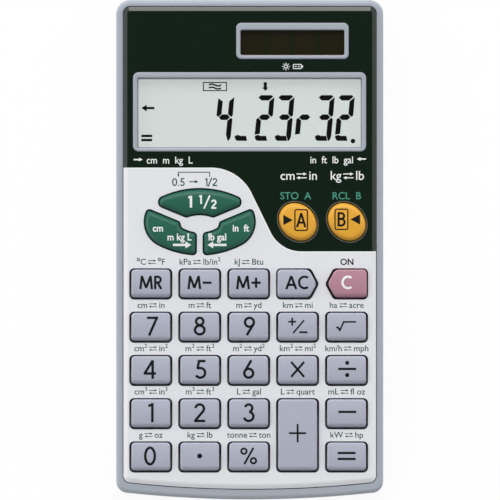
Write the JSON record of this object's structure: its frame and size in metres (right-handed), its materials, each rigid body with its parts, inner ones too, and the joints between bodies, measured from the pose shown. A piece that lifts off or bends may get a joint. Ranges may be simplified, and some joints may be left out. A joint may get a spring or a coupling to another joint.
{
  "type": "pocket calculator",
  "caption": "Slim solar pocket calculator for unit conversion: display, small solar panel, curved function keys and a field of square keys, all pressable.",
  "frame": {"origin": "middle of the flat back, which lies on the table", "axes": "+Z out of the keys, +Y towards the display end, +X to the right as the keys are read"},
  "size_m": [0.07, 0.131, 0.0098],
  "materials": {
    "case_plastic": "satin moulded ABS, lavender grey",
    "plate_plastic": "satin moulded ABS, silver white, printed dark green at the display end",
    "clear_lens": "clear acrylic, polished",
    "display_glass": "reflective display glass, grey green",
    "connector_rubber": "striped conductive rubber",
    "solar_glass": "dark amorphous silicon under glass",
    "lead_jacket": "thin PVC jacket",
    "keypad_rubber": "moulded silicone with carbon pads",
    "board_laminate": "green solder mask on laminate",
    "chip_resin": "black epoxy",
    "part_ceramic": "fired ceramic with tinned ends",
    "can_steel": "drawn can",
    "coin_steel": "nickel plated",
    "contact_steel": "spring strip, nickel plated",
    "screw_steel": "zinc plated",
    "grey_key_plastic": "satin moulded keycap, lavender grey",
    "green_key_plastic": "glossy moulded keycap, dark green",
    "orange_key_plastic": "glossy moulded keycap, amber orange",
    "pink_key_plastic": "satin moulded keycap, dusty pink"
  },
  "bodies": {
    "case": {"board_parts": "part_ceramic", "board_screws": "screw_steel", "case_screws": "screw_steel", "chip_cover": "chip_resin", "circuit_board": "board_laminate", "coin_cell": "coin_steel", "coin_contact_lower": "contact_steel", "coin_contact_upper": "contact_steel", "crystal": "can_steel", "display_connector": "connector_rubber", "display_glass": "display_glass", "display_window": "clear_lens", "face_plate": "plate_plastic", "front_case": "case_plastic", "rear_case": "case_plastic", "rubber_keypad": "keypad_rubber", "solar_cell": "solar_glass", "solar_leads": "lead_jacket"},
    "key_fraction": {"key_fraction": "green_key_plastic"},
    "key_to_metric": {"key_to_metric": "green_key_plastic"},
    "key_from_metric": {"key_from_metric": "green_key_plastic"},
    "key_rate_a": {"key_rate_a": "orange_key_plastic"},
    "key_rate_b": {"key_rate_b": "orange_key_plastic"},
    "key_memory_recall": {"key_memory_recall": "grey_key_plastic"},
    "key_memory_minus": {"key_memory_minus": "grey_key_plastic"},
    "key_memory_plus": {"key_memory_plus": "grey_key_plastic"},
    "key_all_clear": {"key_all_clear": "grey_key_plastic"},
    "key_clear": {"key_clear": "pink_key_plastic"},
    "key_7": {"key_7": "grey_key_plastic"},
    "key_8": {"key_8": "grey_key_plastic"},
    "key_9": {"key_9": "grey_key_plastic"},
    "key_sign": {"key_sign": "grey_key_plastic"},
    "key_root": {"key_root": "grey_key_plastic"},
    "key_4": {"key_4": "grey_key_plastic"},
    "key_5": {"key_5": "grey_key_plastic"},
    "key_6": {"key_6": "grey_key_plastic"},
    "key_times": {"key_times": "grey_key_plastic"},
    "key_divide": {"key_divide": "grey_key_plastic"},
    "key_1": {"key_1": "grey_key_plastic"},
    "key_2": {"key_2": "grey_key_plastic"},
    "key_3": {"key_3": "grey_key_plastic"},
    "key_plus": {"key_plus": "grey_key_plastic"},
    "key_minus": {"key_minus": "grey_key_plastic"},
    "key_0": {"key_0": "grey_key_plastic"},
    "key_point": {"key_point": "grey_key_plastic"},
    "key_percent": {"key_percent": "grey_key_plastic"},
    "key_equals": {"key_equals": "grey_key_plastic"}
  },
  "joints": [
    {"name": "key_fraction_press", "type": "slide", "parent": "case", "child": "key_fraction", "axis": [0, 0, -1], "range_m": [0, 0.001], "stiffness_N_per_m": 800, "deforming": ["rubber_keypad"]},
    {"name": "key_to_metric_press", "type": "slide", "parent": "case", "child": "key_to_metric", "axis": [0, 0, -1], "range_m": [0, 0.001], "stiffness_N_per_m": 800, "deforming": ["rubber_keypad"]},
    {"name": "key_from_metric_press", "type": "slide", "parent": "case", "child": "key_from_metric", "axis": [0, 0, -1], "range_m": [0, 0.001], "stiffness_N_per_m": 800, "deforming": ["rubber_keypad"]},
    {"name": "key_rate_a_press", "type": "slide", "parent": "case", "child": "key_rate_a", "axis": [0, 0, -1], "range_m": [0, 0.001], "stiffness_N_per_m": 800, "deforming": ["rubber_keypad"]},
    {"name": "key_rate_b_press", "type": "slide", "parent": "case", "child": "key_rate_b", "axis": [0, 0, -1], "range_m": [0, 0.001], "stiffness_N_per_m": 800, "deforming": ["rubber_keypad"]},
    {"name": "key_memory_recall_press", "type": "slide", "parent": "case", "child": "key_memory_recall", "axis": [0, 0, -1], "range_m": [0, 0.001], "stiffness_N_per_m": 800, "deforming": ["rubber_keypad"]},
    {"name": "key_memory_minus_press", "type": "slide", "parent": "case", "child": "key_memory_minus", "axis": [0, 0, -1], "range_m": [0, 0.001], "stiffness_N_per_m": 800, "deforming": ["rubber_keypad"]},
    {"name": "key_memory_plus_press", "type": "slide", "parent": "case", "child": "key_memory_plus", "axis": [0, 0, -1], "range_m": [0, 0.001], "stiffness_N_per_m": 800, "deforming": ["rubber_keypad"]},
    {"name": "key_all_clear_press", "type": "slide", "parent": "case", "child": "key_all_clear", "axis": [0, 0, -1], "range_m": [0, 0.001], "stiffness_N_per_m": 800, "deforming": ["rubber_keypad"]},
    {"name": "key_clear_press", "type": "slide", "parent": "case", "child": "key_clear", "axis": [0, 0, -1], "range_m": [0, 0.001], "stiffness_N_per_m": 800, "deforming": ["rubber_keypad"]},
    {"name": "key_7_press", "type": "slide", "parent": "case", "child": "key_7", "axis": [0, 0, -1], "range_m": [0, 0.001], "stiffness_N_per_m": 800, "deforming": ["rubber_keypad"]},
    {"name": "key_8_press", "type": "slide", "parent": "case", "child": "key_8", "axis": [0, 0, -1], "range_m": [0, 0.001], "stiffness_N_per_m": 800, "deforming": ["rubber_keypad"]},
    {"name": "key_9_press", "type": "slide", "parent": "case", "child": "key_9", "axis": [0, 0, -1], "range_m": [0, 0.001], "stiffness_N_per_m": 800, "deforming": ["rubber_keypad"]},
    {"name": "key_sign_press", "type": "slide", "parent": "case", "child": "key_sign", "axis": [0, 0, -1], "range_m": [0, 0.001], "stiffness_N_per_m": 800, "deforming": ["rubber_keypad"]},
    {"name": "key_root_press", "type": "slide", "parent": "case", "child": "key_root", "axis": [0, 0, -1], "range_m": [0, 0.001], "stiffness_N_per_m": 800, "deforming": ["rubber_keypad"]},
    {"name": "key_4_press", "type": "slide", "parent": "case", "child": "key_4", "axis": [0, 0, -1], "range_m": [0, 0.001], "stiffness_N_per_m": 800, "deforming": ["rubber_keypad"]},
    {"name": "key_5_press", "type": "slide", "parent": "case", "child": "key_5", "axis": [0, 0, -1], "range_m": [0, 0.001], "stiffness_N_per_m": 800, "deforming": ["rubber_keypad"]},
    {"name": "key_6_press", "type": "slide", "parent": "case", "child": "key_6", "axis": [0, 0, -1], "range_m": [0, 0.001], "stiffness_N_per_m": 800, "deforming": ["rubber_keypad"]},
    {"name": "key_times_press", "type": "slide", "parent": "case", "child": "key_times", "axis": [0, 0, -1], "range_m": [0, 0.001], "stiffness_N_per_m": 800, "deforming": ["rubber_keypad"]},
    {"name": "key_divide_press", "type": "slide", "parent": "case", "child": "key_divide", "axis": [0, 0, -1], "range_m": [0, 0.001], "stiffness_N_per_m": 800, "deforming": ["rubber_keypad"]},
    {"name": "key_1_press", "type": "slide", "parent": "case", "child": "key_1", "axis": [0, 0, -1], "range_m": [0, 0.001], "stiffness_N_per_m": 800, "deforming": ["rubber_keypad"]},
    {"name": "key_2_press", "type": "slide", "parent": "case", "child": "key_2", "axis": [0, 0, -1], "range_m": [0, 0.001], "stiffness_N_per_m": 800, "deforming": ["rubber_keypad"]},
    {"name": "key_3_press", "type": "slide", "parent": "case", "child": "key_3", "axis": [0, 0, -1], "range_m": [0, 0.001], "stiffness_N_per_m": 800, "deforming": ["rubber_keypad"]},
    {"name": "key_plus_press", "type": "slide", "parent": "case", "child": "key_plus", "axis": [0, 0, -1], "range_m": [0, 0.001], "stiffness_N_per_m": 800, "deforming": ["rubber_keypad"]},
    {"name": "key_minus_press", "type": "slide", "parent": "case", "child": "key_minus", "axis": [0, 0, -1], "range_m": [0, 0.001], "stiffness_N_per_m": 800, "deforming": ["rubber_keypad"]},
    {"name": "key_0_press", "type": "slide", "parent": "case", "child": "key_0", "axis": [0, 0, -1], "range_m": [0, 0.001], "stiffness_N_per_m": 800, "deforming": ["rubber_keypad"]},
    {"name": "key_point_press", "type": "slide", "parent": "case", "child": "key_point", "axis": [0, 0, -1], "range_m": [0, 0.001], "stiffness_N_per_m": 800, "deforming": ["rubber_keypad"]},
    {"name": "key_percent_press", "type": "slide", "parent": "case", "child": "key_percent", "axis": [0, 0, -1], "range_m": [0, 0.001], "stiffness_N_per_m": 800, "deforming": ["rubber_keypad"]},
    {"name": "key_equals_press", "type": "slide", "parent": "case", "child": "key_equals", "axis": [0, 0, -1], "range_m": [0, 0.001], "stiffness_N_per_m": 800, "deforming": ["rubber_keypad"]}
  ]
}
